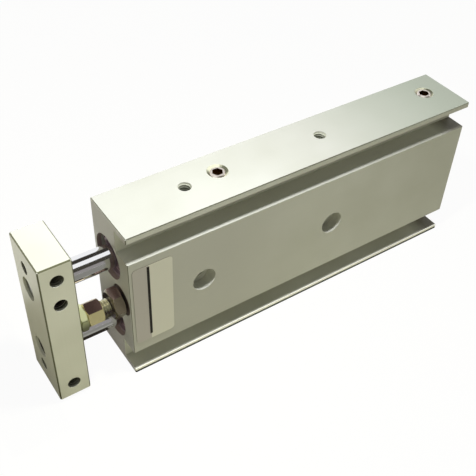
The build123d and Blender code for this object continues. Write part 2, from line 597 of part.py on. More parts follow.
def piston_bumper(bore_z):
    hole_radius = ROD_RADIUS + STATIC_CLEARANCE
    return ring_x(BUMPER_X, NOSE_X, PISTON_BUMPER_DIAMETER / 2, hole_radius, BORE_Y, bore_z)


piston_nuts = Compound(children=[piston_nut(z) for z in BORE_HEIGHTS])
piston_bumpers = Compound(children=[piston_bumper(z) for z in BORE_HEIGHTS])

# Name label: a bare foil on the front face at the rod end.
label_x = ROD_END_X + LABEL_FROM_ROD_END + LABEL_LENGTH / 2
label_z = LABEL_BOTTOM + LABEL_HEIGHT / 2
label_plane = Plane(origin=(label_x, FRONT_Y, label_z), x_dir=(1, 0, 0), z_dir=(0, -1, 0))
label_outline = RectangleRounded(LABEL_LENGTH, LABEL_HEIGHT, LABEL_CORNER_RADIUS)
name_label = extrude(label_plane * label_outline, amount=LABEL_THICKNESS)

parts = {
    "housing": housing,
    "end_bumper": end_bumper,
    "rod_cover_a": rod_cover(BORE_A_Z),
    "rod_cover_b": rod_cover(BORE_B_Z),
    "rod_seal_a": rod_seal(BORE_A_Z),
    "rod_seal_b": rod_seal(BORE_B_Z),
    "seal_retainers": seal_retainers,
    "rod_cover_o_rings": rod_cover_o_rings,
    "rod_cover_retaining_rings": rod_rings,
    "head_cover_a": head_cover(BORE_A_Z),
    "head_cover_b": head_cover(BORE_B_Z),
    "head_cover_o_rings": head_cover_o_rings,
    "head_cover_retaining_rings": head_rings,
    "head_bumpers": head_bumpers,
    "port_plugs": port_plugs,
    "name_label": name_label,
    "plate": plate,
    "piston_rod_a": piston_rod_a,
    "piston_rod_b": piston_rod_b,
    "rod_a_set_screw": rod_a_set_screw,
    "rod_b_cap_screw": rod_b_cap_screw,
    "bumper_bolt": bumper_bolt,
    "adjuster_lock_nut": adjuster_lock_nut,
    "adjuster_sleeve": adjuster_sleeve,
    "piston_a": piston(BORE_A_Z),
    "piston_b": piston(BORE_B_Z),
    "piston_seal_a": piston_seal(BORE_A_Z),
    "piston_seal_b": piston_seal(BORE_B_Z),
    "piston_magnet_a": piston_magnet(BORE_A_Z),
    "piston_magnet_b": piston_magnet(BORE_B_Z),
    "piston_clamp_a": piston_clamp(BORE_A_Z),
    "piston_clamp_b": piston_clamp(BORE_B_Z),
    "piston_nuts": piston_nuts,
    "piston_bumpers": piston_bumpers,
}
for name, shape in parts.items():
    export_step(shape, "parts/" + name + ".step")
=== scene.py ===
import math

import bpy
import numpy as np
from mathutils import Matrix, Vector


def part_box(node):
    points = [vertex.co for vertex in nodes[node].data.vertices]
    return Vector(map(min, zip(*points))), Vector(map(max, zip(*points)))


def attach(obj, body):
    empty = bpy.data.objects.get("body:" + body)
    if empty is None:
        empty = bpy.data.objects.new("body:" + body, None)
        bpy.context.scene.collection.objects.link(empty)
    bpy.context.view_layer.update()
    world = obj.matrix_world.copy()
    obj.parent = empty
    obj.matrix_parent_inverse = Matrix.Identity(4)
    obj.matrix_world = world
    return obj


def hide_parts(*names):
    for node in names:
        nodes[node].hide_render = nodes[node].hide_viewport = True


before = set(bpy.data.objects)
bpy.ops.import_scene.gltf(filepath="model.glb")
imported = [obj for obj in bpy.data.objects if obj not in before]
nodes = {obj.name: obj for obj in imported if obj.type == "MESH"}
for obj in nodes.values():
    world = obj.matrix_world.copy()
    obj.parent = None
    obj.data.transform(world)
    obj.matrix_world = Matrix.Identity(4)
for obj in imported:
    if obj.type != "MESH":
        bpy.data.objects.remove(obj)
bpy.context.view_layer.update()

# Camera: a long lens in front of the rod end and above it, turned a little so
# that the upright edges of the housing lean as they do in the photograph.
right = Vector((0.8298, -0.5569, 0.0356))
down = Vector((-0.3563, -0.5780, -0.7341))
ahead = Vector((0.4294, 0.5965, -0.6781))
camera_place = (-0.10436, -0.12190, 0.16116)
focal_pixels, picture_pixels = 784.4, 476
camera_data = bpy.data.cameras.new("camera")
camera_data.sensor_width = 36.0
camera_data.lens = focal_pixels / picture_pixels * camera_data.sensor_width
camera_data.clip_start, camera_data.clip_end = 0.01, 10.0
camera = bpy.data.objects.new("camera", camera_data)
turn = Matrix((right, -down, -ahead)).transposed().to_4x4()
camera.matrix_world = Matrix.Translation(camera_place) @ turn
bpy.context.scene.collection.objects.link(camera)
bpy.context.scene.camera = camera
bpy.context.scene.view_settings.view_transform = "Standard"


# Housing: one drawn aluminium block, milled and then clear anodised. The skin
# is satin, and fine tool lines along the block spread each highlight.
def linear(hex_colour):
    """Linear RGBA of an sRGB hex colour: (c + 0.055) / 1.055 to the power 2.4, or c / 12.92 for a small c."""
    parts = np.array([int(hex_colour[i:i + 2], 16) for i in (1, 3, 5)]) / 255
    curve = np.where(parts > 0.04045, ((parts + 0.055) / 1.055) ** 2.4, parts / 12.92)
    return (*[float(c) for c in curve], 1.0)


def add(tree, kind, sockets=(), **settings):
    """Adds a shader node, sets its settings, and gives its sockets values or links."""
    node = tree.nodes.new("ShaderNode" + kind)
    for name, value in settings.items():
        setattr(node, name, value)
    for key, value in dict(sockets).items():
        if isinstance(value, bpy.types.NodeSocket):
            tree.links.new(value, node.inputs[key])
        else:
            node.inputs[key].default_value = value
    return node


def new_finish(name, colour, metallic, roughness):
    """A material named for its finish, its node tree, its shader and the piece's own coordinates."""
    material = bpy.data.materials.new(name)
    material.use_nodes = True
    tree = material.node_tree
    shader = tree.nodes["Principled BSDF"]
    shader.inputs["Base Color"].default_value = linear(colour)
    shader.inputs["Metallic"].default_value = metallic
    shader.inputs["Roughness"].default_value = roughness
    return material, tree, shader, add(tree, "TexCoord").outputs["Object"]


def ramp(tree, value, *stops):
    """Colour ramp through (position, sRGB hex) stops."""
    node = add(tree, "ValToRGB", {"Fac": value})
    while len(node.color_ramp.elements) < len(stops):
        node.color_ramp.elements.new(0.5)
    for element, (position, colour) in zip(node.color_ramp.elements, stops):
        element.position = position
        element.color = linear(colour)
    return node.outputs["Color"]


def coats(tree, tone, *layers):
    """Tone under (share, colour) layers, laid on in turn: tone times 1 - share, plus colour times share."""
    for share, colour in layers:
        over = {"Factor": share, "A": tone, "B": colour}
        tone = add(tree, "Mix", over, data_type="RGBA").outputs["Result"]
    return tone


def where_all(tree, first, *others):
    """1 where each of several tests is 1, and 0 where one is 0: their product."""
    for other in others:
        first = add(tree, "Math", {0: first, 1: other}, operation="MULTIPLY").outputs[0]
    return first


def apart_and_facing(tree, place):
    """The x, y and z of a point's place on the object, and those of the way that its facet faces."""
    normal = add(tree, "NewGeometry").outputs["True Normal"]
    return [add(tree, "SeparateXYZ", {"Vector": vector}).outputs for vector in (place, normal)]


def dress(material, *names):
    """Gives CAD nodes their finish."""
    for name in names:
        for slot in nodes[name].material_slots:
            slot.material = material


def anodised(name, dark, light, edge, along):
    """Satin anodised aluminium: lines drawn along one axis, clouds of tone, and duller broken edges."""
    material, tree, shader, place = new_finish(name, light, 0.3, 0.42)
    line_width, line_length, cloud_width = 0.0005, 0.03, 0.016
    scale = [1 / line_width] * 3
    scale[along] = 1 / line_length
    spread = add(tree, "Mapping", {"Vector": place, "Scale": scale}).outputs[0]
    lines = add(tree, "TexNoise", {"Vector": spread, "Scale": 1.0, "Detail": 3.0}).outputs["Fac"]
    clouds = add(tree, "TexNoise", {"Vector": place, "Scale": 1 / cloud_width, "Detail": 2.0}).outputs["Fac"]
    normal = add(tree, "NewGeometry").outputs["True Normal"]
    normal = add(tree, "VectorMath", {0: normal}, operation="ABSOLUTE").outputs["Vector"]
    normal = add(tree, "SeparateXYZ", {"Vector": normal}).outputs
    most = add(tree, "Math", {0: normal["X"], 1: normal["Y"]}, operation="MAXIMUM").outputs[0]
    most = add(tree, "Math", {0: most, 1: normal["Z"]}, operation="MAXIMUM").outputs[0]
    slanted = add(tree, "Math", {0: most, 1: math.sqrt(0.5), 2: 0.002}, operation="COMPARE").outputs[0]
    tone = coats(tree, ramp(tree, clouds, (0.30, dark), (0.70, light)), (slanted, linear(edge)))
    tree.links.new(tone, shader.inputs["Base Color"])
    rough = add(tree, "MapRange", {"Value": lines, "To Min": 0.36, "To Max": 0.48})
    tree.links.new(rough.outputs[0], shader.inputs["Roughness"])
    bump = add(tree, "Bump", {"Height": lines, "Strength": 0.08, "Distance": 0.0002})
    tree.links.new(bump.outputs[0], shader.inputs["Normal"])
    return material, tree, shader, place, tone


def near_axes(tree, across, middle, half_pitch, depth, axis_y, radius):
    """1 near two parallel axes: the length of (|across - middle| - half_pitch, depth - axis_y) < radius."""
    off_middle = add(tree, "Math", {0: across, 1: middle}, operation="SUBTRACT").outputs[0]
    off_middle = add(tree, "Math", {0: off_middle}, operation="ABSOLUTE").outputs[0]
    off_first = add(tree, "Math", {0: off_middle, 1: half_pitch}, operation="SUBTRACT").outputs[0]
    off_second = add(tree, "Math", {0: depth, 1: axis_y}, operation="SUBTRACT").outputs[0]
    off_axis = add(tree, "CombineXYZ", {"X": off_first, "Y": off_second}).outputs[0]
    off_axis = add(tree, "VectorMath", {0: off_axis}, operation="LENGTH").outputs["Value"]
    return add(tree, "Math", {0: off_axis, 1: radius}, operation="LESS_THAN").outputs[0]


block_dark, block_light, block_edge = "#B4B5AA", "#BCBDB4", "#5B5C4E"
block_skin, tree, shader, place, tone = anodised(
    "clear anodised aluminium", block_dark, block_light, block_edge, 0
)
housing_low, housing_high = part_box("housing")
on_face = 0.00005
bore_y, middle_z, half_bore_pitch, mouth_radius = 0.0015, 0.023, 0.010, 0.00597
port_middle_x, half_port_pitch, flare_radius = 0.0113, 0.0338, 0.00268
apart, facing = apart_and_facing(tree, place)
off_middle = add(tree, "Math", {0: apart["Z"], 1: middle_z}, operation="SUBTRACT").outputs[0]
off_middle = add(tree, "Math", {0: off_middle}, operation="ABSOLUTE").outputs[0]

# The bore mouths and the ports' flares are bare metal. The bore mouths carry a
# purplish painted shade. A flare has painted shade where its cone turns along
# the block, and painted light where it faces front or back.
in_bore = near_axes(tree, apart["Z"], middle_z, half_bore_pitch, apart["Y"], bore_y, mouth_radius)
in_flare = near_axes(tree, apart["X"], port_middle_x, half_port_pitch, apart["Y"], bore_y, flare_radius)
sideways = add(tree, "Math", {0: facing["X"]}, operation="ABSOLUTE").outputs[0]
flare = ramp(tree, sideways, (0.42, "#C8C9B0"), (0.64, "#565746"))

# The rod end face is milled. Its tone is painted shading: greyer towards its top and a little lighter low
# down.
rod_end_x = housing_low[0] + on_face
on_end = add(tree, "Math", {0: apart["X"], 1: rod_end_x}, operation="LESS_THAN").outputs[0]
share_up = {"Value": apart["Z"], "From Min": housing_low[2], "From Max": housing_high[2]}
share_up = add(tree, "MapRange", share_up).outputs[0]
end_face_painted_shading = ramp(tree, share_up, (0.10, "#C3C2C8"), (0.65, "#BCBDB2"), (0.85, "#9A988B"))

# The lower walls of the switch grooves have painted shade in their mouths at the head end.
groove_middle, groove_half, groove_shade_start, groove_shade_end = 0.0183, 0.0033, 0.044, 0.049
in_groove = {0: off_middle, 1: groove_middle, 2: groove_half}
in_groove = add(tree, "Math", in_groove, operation="COMPARE").outputs[0]
upward = add(tree, "Math", {0: facing["Z"], 1: 0.9}, operation="GREATER_THAN").outputs[0]
groove_shade_run = {"Value": apart["X"], "From Min": groove_shade_start, "From Max": groove_shade_end}
groove_shade_run = add(tree, "MapRange", groove_shade_run).outputs[0]

# Painted shade: the top grows greyer towards the head end, and the front duller towards the rods.
top_z, front_y, web_half = housing_high[2] - 2 * on_face, housing_low[1] + on_face, 0.0152
on_top = add(tree, "Math", {0: apart["Z"], 1: top_z}, operation="GREATER_THAN").outputs[0]
on_front = add(tree, "Math", {0: apart["Y"], 1: front_y}, operation="LESS_THAN").outputs[0]
on_web = add(tree, "Math", {0: off_middle, 1: web_half}, operation="LESS_THAN").outputs[0]
top_shade_to_head = add(tree, "MapRange", {"Value": apart["X"], "From Min": 0.005, "From Max": 0.045}).outputs[0]
front_shade_to_rods = add(tree, "MapRange", {"Value": apart["X"], "From Min": 0.0, "From Max": -0.025}).outputs[0]

# The lower lip has a painted highlight on its upper half and painted shade below.
lip_height, lip_depth = 0.0015, 0.0003
lip_y, lip_z = housing_low[1] + lip_depth, lip_height + on_face
lip_front = add(tree, "Math", {0: apart["Y"], 1: lip_y}, operation="LESS_THAN").outputs[0]
lip_level = add(tree, "Math", {0: apart["Z"], 1: lip_z}, operation="LESS_THAN").outputs[0]
lip_share = add(tree, "MapRange", {"Value": apart["Z"], "From Min": 0.0, "From Max": lip_height}).outputs[0]
lip_painted_light = ramp(tree, lip_share, (0.48, "#34362A"), (0.68, "#FFFFF4"))

# The skin's tone, with the painted shade and painted light above laid over it.
tone = coats(
    tree, tone,
    (in_bore, linear("#9A8A84")),
    (in_flare, flare),
    (on_end, end_face_painted_shading),
    (where_all(tree, in_groove, upward, groove_shade_run), linear("#726F64")),
    (where_all(tree, on_top, top_shade_to_head), linear("#ACB3A4")),
    (where_all(tree, on_front, front_shade_to_rods, on_web), linear("#AEAEA5")),
    (where_all(tree, lip_front, lip_level), lip_painted_light),
)
tree.links.new(tone, shader.inputs["Base Color"])
dress(block_skin, "housing")


# Screw threads in the housing's open holes: four M4 holes in its two long
# edges and the two M5 ports underneath. They are cut with a tap and bare, and
# their tone is painted shade deep in the holes and painted light at the mouths.
def grid_piece(name, points, material, body, closed_rows=False):
    """Mesh of a grid of points, closed round its columns. Its rows close up too, or end in flat fans."""
    rows, columns = points.shape[:2]
    loops = rows if closed_rows else rows - 1
    r, c = np.meshgrid(np.arange(loops), np.arange(columns), indexing="ij")
    here, beside = r * columns + c, r * columns + (c + 1) % columns
    up = (r + 1) % rows * columns - r * columns
    faces = np.stack([here, beside, beside + up, here + up], axis=-1).reshape(-1, 4).tolist()
    vertices = points.reshape(-1, 3)
    if not closed_rows:
        first, last = len(vertices), len(vertices) + 1
        vertices = np.concatenate([vertices, [points[0].mean(axis=0), points[-1].mean(axis=0)]])
        ring = np.arange(columns)
        after = (ring + 1) % columns
        top = (rows - 1) * columns
        faces += np.stack([after, ring, np.full(columns, first)], axis=-1).tolist()
        faces += np.stack([top + ring, top + after, np.full(columns, last)], axis=-1).tolist()
    mesh = bpy.data.meshes.new(name)
    mesh.from_pydata(vertices.tolist(), [], faces)
    mesh.materials.append(material)
    mesh.shade_smooth()
    mesh.set_sharp_from_angle(angle=math.radians(28))
    piece = bpy.data.objects.new(name, mesh)
    bpy.context.scene.collection.objects.link(piece)
    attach(piece, body)
    return piece


def around(axis, centre, along, radius, angle):
    """Points at a radius and an angle around an axis through the centre, at a distance along it."""
    first = {"x": (0, 1, 0), "y": (0, 0, 1), "z": (1, 0, 0)}[axis]
    second = {"x": (0, 0, 1), "y": (1, 0, 0), "z": (0, 1, 0)}[axis]
    third = {"x": (1, 0, 0), "y": (0, 1, 0), "z": (0, 0, 1)}[axis]
    flat = radius * np.cos(angle), radius * np.sin(angle), along
    ways = zip(flat, (first, second, third))
    return sum(part[..., None] * np.array(way) for part, way in ways) + np.array(centre)


def thread_wave(turns):
    """Height of a screw thread, 0 at the root and 1 at the crest: a zigzag over each turn, cut flat."""
    flat = 0.12
    zigzag = 1 - np.abs(2 * (turns % 1.0) - 1)
    return np.clip((zigzag - flat) / (1 - 2 * flat), 0, 1)


def inner_thread(axis, centre, start, end, radius, pitch, depth):
    """Closed tube on a hole's wall. Its inner side is r = radius - depth * wave(x / pitch - angle / 2 pi)."""
    step, run_out = pitch / 10, 0.6 * pitch
    wall_gap, root_gap = 0.000002, 0.00001
    angle = np.linspace(0, 2 * np.pi, 72, endpoint=False)
    along, around_hole = np.meshgrid(np.arange(start, end, step), angle, indexing="ij")
    ends = np.clip(np.minimum(along - start, end - step - along) / run_out, 0, 1)
    crest = depth * ends * thread_wave(along / pitch - around_hole / (2 * np.pi))
    inside = around(axis, centre, along, radius - root_gap - crest, around_hole)
    outside = around(axis, centre, along[::-1], np.full_like(along, radius - wall_gap), around_hole)
    return np.concatenate([inside, outside])


def threads(name, holes, material, body):
    """One piece of several threaded holes, each (axis, centre, start, end, radius, pitch, depth)."""
    tubes = [
        grid_piece(name + "_part", inner_thread(*hole), material, body, closed_rows=True) for hole in holes
    ]
    with bpy.context.temp_override(active_object=tubes[0], selected_editable_objects=tubes):
        bpy.ops.object.join()
    tubes[0].name = name
    return tubes[0]


tapped, tree, shader, place = new_finish("tapped aluminium", "#A8A996", 0.5, 0.4)
height = apart_and_facing(tree, place)[0]["Z"]
# Painted shade deep in each hole, turning to painted light at its mouth.
from_middle = add(tree, "Math", {0: height, 1: middle_z}, operation="SUBTRACT").outputs[0]
from_middle = add(tree, "Math", {0: from_middle}, operation="ABSOLUTE").outputs[0]
to_mouth = add(tree, "MapRange", {"Value": from_middle, "From Min": 0.0195, "From Max": 0.0229}).outputs[0]
thread_painted_shading = ramp(tree, to_mouth, (0.10, "#3A3A2E"), (0.55, "#7E8070"), (0.95, "#E0E2D0"))
tree.links.new(thread_painted_shading, shader.inputs["Base Color"])

m4_thread = (0.00165, 0.0007, 0.00016)
m5_thread = (0.0021, 0.0008, 0.00018)
inset = 0.0001
edge_tap_xs, edge_tap_y, edge_tap_depth = (-0.0322, 0.0078), 0.0005, 0.0046
port_xs, port_y, port_start, port_end = (-0.0225, 0.0451), 0.0015, 0.0006, 0.0042
edge_holes = [
    ("z", (x, edge_tap_y, 0), start, start + edge_tap_depth, *m4_thread)
    for x in edge_tap_xs
    for start in (inset, housing_high[2] - edge_tap_depth - inset)
]
port_holes = [("z", (x, port_y, 0), port_start, port_end, *m5_thread) for x in port_xs]
threads("housing_threads", edge_holes + port_holes, tapped, "cylinder_body")

# End bumper: a disc of brown urethane pressed into the rod end face, where the
# adjuster's head comes up against it.
urethane = new_finish("cast urethane", "#4A3B36", 0.0, 0.5)[0]
dress(urethane, "end_bumper")

# Pistons: turned aluminium with a clamping ring behind, a bonded magnet ring,
# a nut in zinc plated steel, and black nitrile seals and bumpers.
turned_alloy = new_finish("turned aluminium", "#BCBDBE", 0.9, 0.3)[0]
dress(turned_alloy, "piston_a", "piston_b", "piston_clamp_a", "piston_clamp_b")
magnet_rubber = new_finish("bonded ferrite", "#3A3A3C", 0.1, 0.6)[0]
dress(magnet_rubber, "piston_magnet_a", "piston_magnet_b")
zinc_steel = new_finish("bright zinc plate", "#C6CACC", 1.0, 0.3)[0]
dress(zinc_steel, "piston_nuts")
nitrile = new_finish("moulded nitrile rubber", "#221D1E", 0.0, 0.55)[0]
dress(nitrile, "piston_seal_a", "piston_seal_b", "piston_bumpers", "head_bumpers")

# Piston rods: steel, hard chromed and ground. The chrome mirrors what is round it,
# faint rings from the grinding wheel draw the highlight out, and the turned end
# that stands in the plate is dark.
chrome_colour, ring_width, turned_end_x = "#EDEEF0", 0.0004, -0.0712
chrome, tree, shader, place = new_finish("ground hard chrome", chrome_colour, 1.0, 0.07)
stretch = add(tree, "Mapping", {"Vector": place, "Scale": (1 / ring_width, 20, 20)}).outputs[0]
rings = add(tree, "TexNoise", {"Vector": stretch, "Scale": 1.0, "Detail": 2.0}).outputs["Fac"]
rough = add(tree, "MapRange", {"Value": rings, "To Min": 0.05, "To Max": 0.12})
tree.links.new(rough.outputs[0], shader.inputs["Roughness"])
along_rod = apart_and_facing(tree, place)[0]["X"]
turned_end = add(tree, "Math", {0: along_rod, 1: turned_end_x}, operation="LESS_THAN").outputs[0]
rod_tone = coats(tree, linear(chrome_colour), (turned_end, linear("#3A382F")))
tree.links.new(rod_tone, shader.inputs["Base Color"])
dress(chrome, "piston_rod_a", "piston_rod_b")

# Rod covers: bearing alloy, turned and hard anodised to a dark brown, with the
# black rod seals and the O-rings in them.
bearing = new_finish("hard anodised bearing alloy", "#947E86", 0.3, 0.45)[0]
dress(bearing, "rod_cover_a", "rod_cover_b")
dress(nitrile, "rod_seal_a", "rod_seal_b", "rod_cover_o_rings", "head_cover_o_rings")

# Retaining rings and seal retainers: stamped spring steel with a dark
# phosphate coat. The rings are sprung into the grooves in the bore mouths.
phosphate = new_finish("phosphated spring steel", "#8E7E86", 0.5, 0.45)[0]
dress(phosphate, "rod_cover_retaining_rings", "head_cover_retaining_rings", "seal_retainers")

# Head covers: plain discs turned from the pistons' aluminium. They close the
# bores at the head end, each behind its own retaining ring.
dress(turned_alloy, "head_cover_a", "head_cover_b")

# Port plugs: hexagon socket plugs in nickel plated steel, screwed into the two
# upper ports. The plate is bright on their upper faces, and the sockets and the
# rest have a brown painted shade.
nickel_colour, rim_z = "#FBF1E8", 0.0453
nickel, tree, shader, place = new_finish("nickel plate", nickel_colour, 1.0, 0.3)
apart, facing = apart_and_facing(tree, place)
upwards = add(tree, "Math", {0: facing["Z"], 1: 0.5}, operation="GREATER_THAN").outputs[0]
above_socket = add(tree, "Math", {0: apart["Z"], 1: rim_z}, operation="GREATER_THAN").outputs[0]
on_rim = where_all(tree, upwards, above_socket)
plug_painted_shade = coats(tree, linear("#8A6E50"), (on_rim, linear(nickel_colour)))
tree.links.new(plug_painted_shade, shader.inputs["Base Color"])
dress(nickel, "port_plugs")

# Name label: a bare foil stuck on the front face, with a darker field and a
# black rule printed on it. It carries no lettering.
foil, tree, shader, place = new_finish("printed aluminium foil", "#A9A796", 0.4, 0.4)
rule_x, half_rule_width, field_blur = -0.0475, 0.00035, 0.00002
rule_bottom, rule_top = 0.0126, 0.0355
apart, facing = apart_and_facing(tree, place)
across = {"Value": apart["X"], "From Min": rule_x - field_blur, "From Max": rule_x + field_blur}
fields = ramp(tree, add(tree, "MapRange", across).outputs[0], (0.0, "#B4B0AA"), (1.0, "#D2D1C4"))
in_width = {0: apart["X"], 1: rule_x, 2: half_rule_width}
in_width = add(tree, "Math", in_width, operation="COMPARE").outputs[0]
in_height = {0: apart["Z"], 1: (rule_bottom + rule_top) / 2, 2: (rule_top - rule_bottom) / 2}
in_height = add(tree, "Math", in_height, operation="COMPARE").outputs[0]
on_edge = add(tree, "Math", {0: facing["Y"], 1: -0.5}, operation="GREATER_THAN").outputs[0]
on_rule = where_all(tree, in_width, in_height)
printed = coats(tree, fields, (on_rule, linear("#1E1A16")), (on_edge, linear("#6C6A5C")))
tree.links.new(printed, shader.inputs["Base Color"])
dress(foil, "name_label")

# Plate: cut from drawn aluminium bar and clear anodised, a little lighter than
# the housing. It is clamped on rod A and screwed to the end of rod B.
plate_skin = anodised("clear anodised bar", "#C8C9BA", "#D1D2C4", "#66674F", 2)[0]
dress(plate_skin, "plate")

# Screw threads in the plate: two M4 holes through its face, two in its front
# side, and the mouth of the hole that the set screw stands in.
# Their bare metal is painted darker than the housing's threads: painted shade in the holes.
shaded_tapped_bar = new_finish("tapped bar in painted shade", "#5E5F54", 0.5, 0.4)[0]
plate_low, plate_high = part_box("plate")
screw_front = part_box("rod_a_set_screw")[0][1]
plate_x, rod_a_z, side_depth, screw_gap = -0.0682, 0.033, 0.0108, 0.00005
plate_side_zs, plate_face_zs = (0.0055, 0.0405), (0.0065, 0.0395)
face_holes = [
    ("x", (0, bore_y, z), plate_low[0] + inset, plate_high[0] - inset, *m4_thread) for z in plate_face_zs
]
side_holes = [
    ("y", (plate_x, 0, z), plate_low[1] + inset, plate_low[1] + side_depth, *m4_thread)
    for z in plate_side_zs
]
clamp_hole = ("y", (plate_x, 0, rod_a_z), plate_low[1] + inset, screw_front - screw_gap, *m4_thread)
plate_holes = face_holes + side_holes + [clamp_hole]
threads("plate_threads", plate_holes, shaded_tapped_bar, "rods_and_plate")

# Cap screw and set screw: alloy steel with a dull black oxide skin. One holds
# rod B in the plate's outer face, and the other clamps rod A from the front.
black_oxide = new_finish("black oxide", "#241F1C", 0.0, 0.6)[0]
dress(black_oxide, "rod_b_cap_screw", "rod_a_set_screw")


# Stroke adjuster: the bumper bolt, screwed into the plate, with its sleeve and
# lock nut. All are zinc plated steel. Bolt and sleeve have a yellow chromate that
# differs in tone between head, shank and sleeve, and the nut has a paler one.
# Over these tones lie painted reflection, highlight and shade by the way each
# facet faces, and painted shade on the nut's lower part.
def hexagon_radius(angle, width, turn):
    """Distance from a hexagon's centre to its side: half its width over the cosine of the angle off a flat."""
    sector = np.pi / 3
    from_flat = (angle - turn) % sector - sector / 2
    return width / 2 / np.cos(from_flat)


def hexagon_rows(start, end, width, turn, angle, face_radius):
    """Rows of a hexagon with ends turned to a 30 degree cone: r is the smaller of hexagon and cone."""
    corner = width / math.sqrt(3)
    slope = math.tan(math.radians(30))
    depth = (corner - face_radius) * slope
    from_end = np.concatenate([[0], np.linspace(0, depth, 9)])
    along = np.concatenate([start + from_end, end - from_end[::-1]])
    cone = face_radius + np.concatenate([from_end, from_end[::-1]]) / slope
    radius = np.minimum(hexagon_radius(angle, width, turn)[None, :], cone[:, None])
    return along, radius


yellow_zinc, tree, shader, place = new_finish("yellow chromate on zinc", "#FFF2C8", 0.85, 0.22)
stain_width, sleeve_end, head_start = 0.0025, -0.0581, -0.0558
apart, facing = apart_and_facing(tree, place)
stains = add(tree, "TexNoise", {"Vector": place, "Scale": 1 / stain_width, "Detail": 2.0}).outputs["Fac"]
# The tone follows which way each facet faces, with a little real stain: a painted reflection darkens the
# sleeve's upper facets to brown, and the shank and head have a painted highlight on top and painted shade
# beneath.
run = add(tree, "Math", {0: stains, 1: 0.1, 2: facing["Z"]}, operation="MULTIPLY_ADD").outputs[0]
sleeve_chromate_painted_light = ramp(tree, run, (0.30, "#E8DDA8"), (0.50, "#FFF2C8"), (0.78, "#FFEFCC"), (0.84, "#5C4942"))
shank_chromate_painted_light = ramp(tree, run, (0.05, "#6A5C5C"), (0.35, "#B2B297"), (0.90, "#D8D2B0"))
head_chromate_painted_light = ramp(tree, run, (0.60, "#837B67"), (0.90, "#B49C96"))
past_sleeve = add(tree, "Math", {0: apart["X"], 1: sleeve_end}, operation="GREATER_THAN").outputs[0]
past_shank = add(tree, "Math", {0: apart["X"], 1: head_start}, operation="GREATER_THAN").outputs[0]
zinc_chromate_painted_light = coats(tree, sleeve_chromate_painted_light, (past_sleeve, shank_chromate_painted_light), (past_shank, head_chromate_painted_light))
tree.links.new(zinc_chromate_painted_light, shader.inputs["Base Color"])

pale_colour, pale_low_z, pale_high_z = "#E4E8B4", 0.0222, 0.0246
pale_zinc, tree, shader, place = new_finish("pale chromate on zinc", pale_colour, 1.0, 0.3)
# Painted shade on the nut's lower part: darker towards its bottom.
nut_height = apart_and_facing(tree, place)[0]["Z"]
run = {"Value": nut_height, "From Min": pale_low_z, "From Max": pale_high_z}
nut_chromate_painted_shade = ramp(tree, add(tree, "MapRange", run).outputs[0], (0.0, "#8E9070"), (1.0, pale_colour))
tree.links.new(nut_chromate_painted_shade, shader.inputs["Base Color"])

adjuster_axis = (0, -0.0038, 0.023)
circle = np.radians(np.arange(0, 360, 3))
bolt_low, bolt_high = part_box("bumper_bolt")
head_length, head_width, head_turn, head_face = 0.0029, 0.0070, 0.0, 0.0033
thread_radius, bolt_pitch, bolt_depth = 0.00197, 0.0007, 0.00034
head_x = bolt_high[0] - head_length
shank = np.arange(bolt_low[0], head_x, bolt_pitch / 10)
along, angle = np.meshgrid(shank, circle, indexing="ij")
cut_back = bolt_depth * (1 - thread_wave(along / bolt_pitch - angle / (2 * np.pi)))
point = np.clip(thread_radius - bolt_depth + (along - bolt_low[0]), 0, thread_radius)
shank_radius = np.minimum(thread_radius - cut_back, point)
head_along, head_radius = hexagon_rows(head_x, bolt_high[0], head_width, head_turn, circle, head_face)
bolt_x = np.concatenate([along, np.repeat(head_along[:, None], len(circle), axis=1)])
bolt_radius = np.concatenate([shank_radius, head_radius])
bolt_points = around("x", adjuster_axis, bolt_x, bolt_radius, np.broadcast_to(circle, bolt_x.shape))
bolt = grid_piece("bumper_bolt_threaded", bolt_points, yellow_zinc, "rods_and_plate")
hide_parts("bumper_bolt")


def hexagon_ring(name, node, width, turn, face_radius, bore_radius, material):
    """Nut or sleeve: the chamfered hexagon outside, and a plain bore that closes the grid inside."""
    low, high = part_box(node)
    rows, radius = hexagon_rows(low[0], high[0], width, turn, circle, face_radius)
    rows = np.concatenate([rows, [high[0], low[0]]])
    radius = np.concatenate([radius, np.full((2, len(circle)), bore_radius)])
    along = np.repeat(rows[:, None], len(circle), axis=1)
    points = around("x", adjuster_axis, along, radius, np.broadcast_to(circle, along.shape))
    piece = grid_piece(name, points, material, "rods_and_plate", closed_rows=True)
    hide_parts(node)


adjuster_bore = 0.00202
sleeve_size = (0.0055, math.radians(15), 0.0026, adjuster_bore)
nut_size = (0.0060, math.radians(34), 0.0028, adjuster_bore)
hexagon_ring("sleeve_chamfered", "adjuster_sleeve", *sleeve_size, yellow_zinc)
hexagon_ring("lock_nut_chamfered", "adjuster_lock_nut", *nut_size, pale_zinc)


# Floor: a sheet of white paper. It is seen as plain white with a faint shadow,
# and what it throws back on the object is duller.
def plain_view(tree):
    """1 for what is seen directly, in a mirror or through glass: the largest of the three kinds of ray."""
    rays = add(tree, "LightPath").outputs
    seen = add(tree, "Math", {0: rays["Is Camera Ray"], 1: rays["Is Glossy Ray"]}, operation="MAXIMUM")
    seen = add(tree, "Math", {0: seen.outputs[0], 1: rays["Is Transmission Ray"]}, operation="MAXIMUM")
    return seen.outputs[0]


def studio_sheet(name, corners, material):
    """Flat sheet between four corners, which is no part of the object."""
    mesh = bpy.data.meshes.new(name)
    mesh.from_pydata(corners, [], [(0, 1, 2, 3)])
    mesh.materials.append(material)
    piece = bpy.data.objects.new(name, mesh)
    bpy.context.scene.collection.objects.link(piece)
    return piece


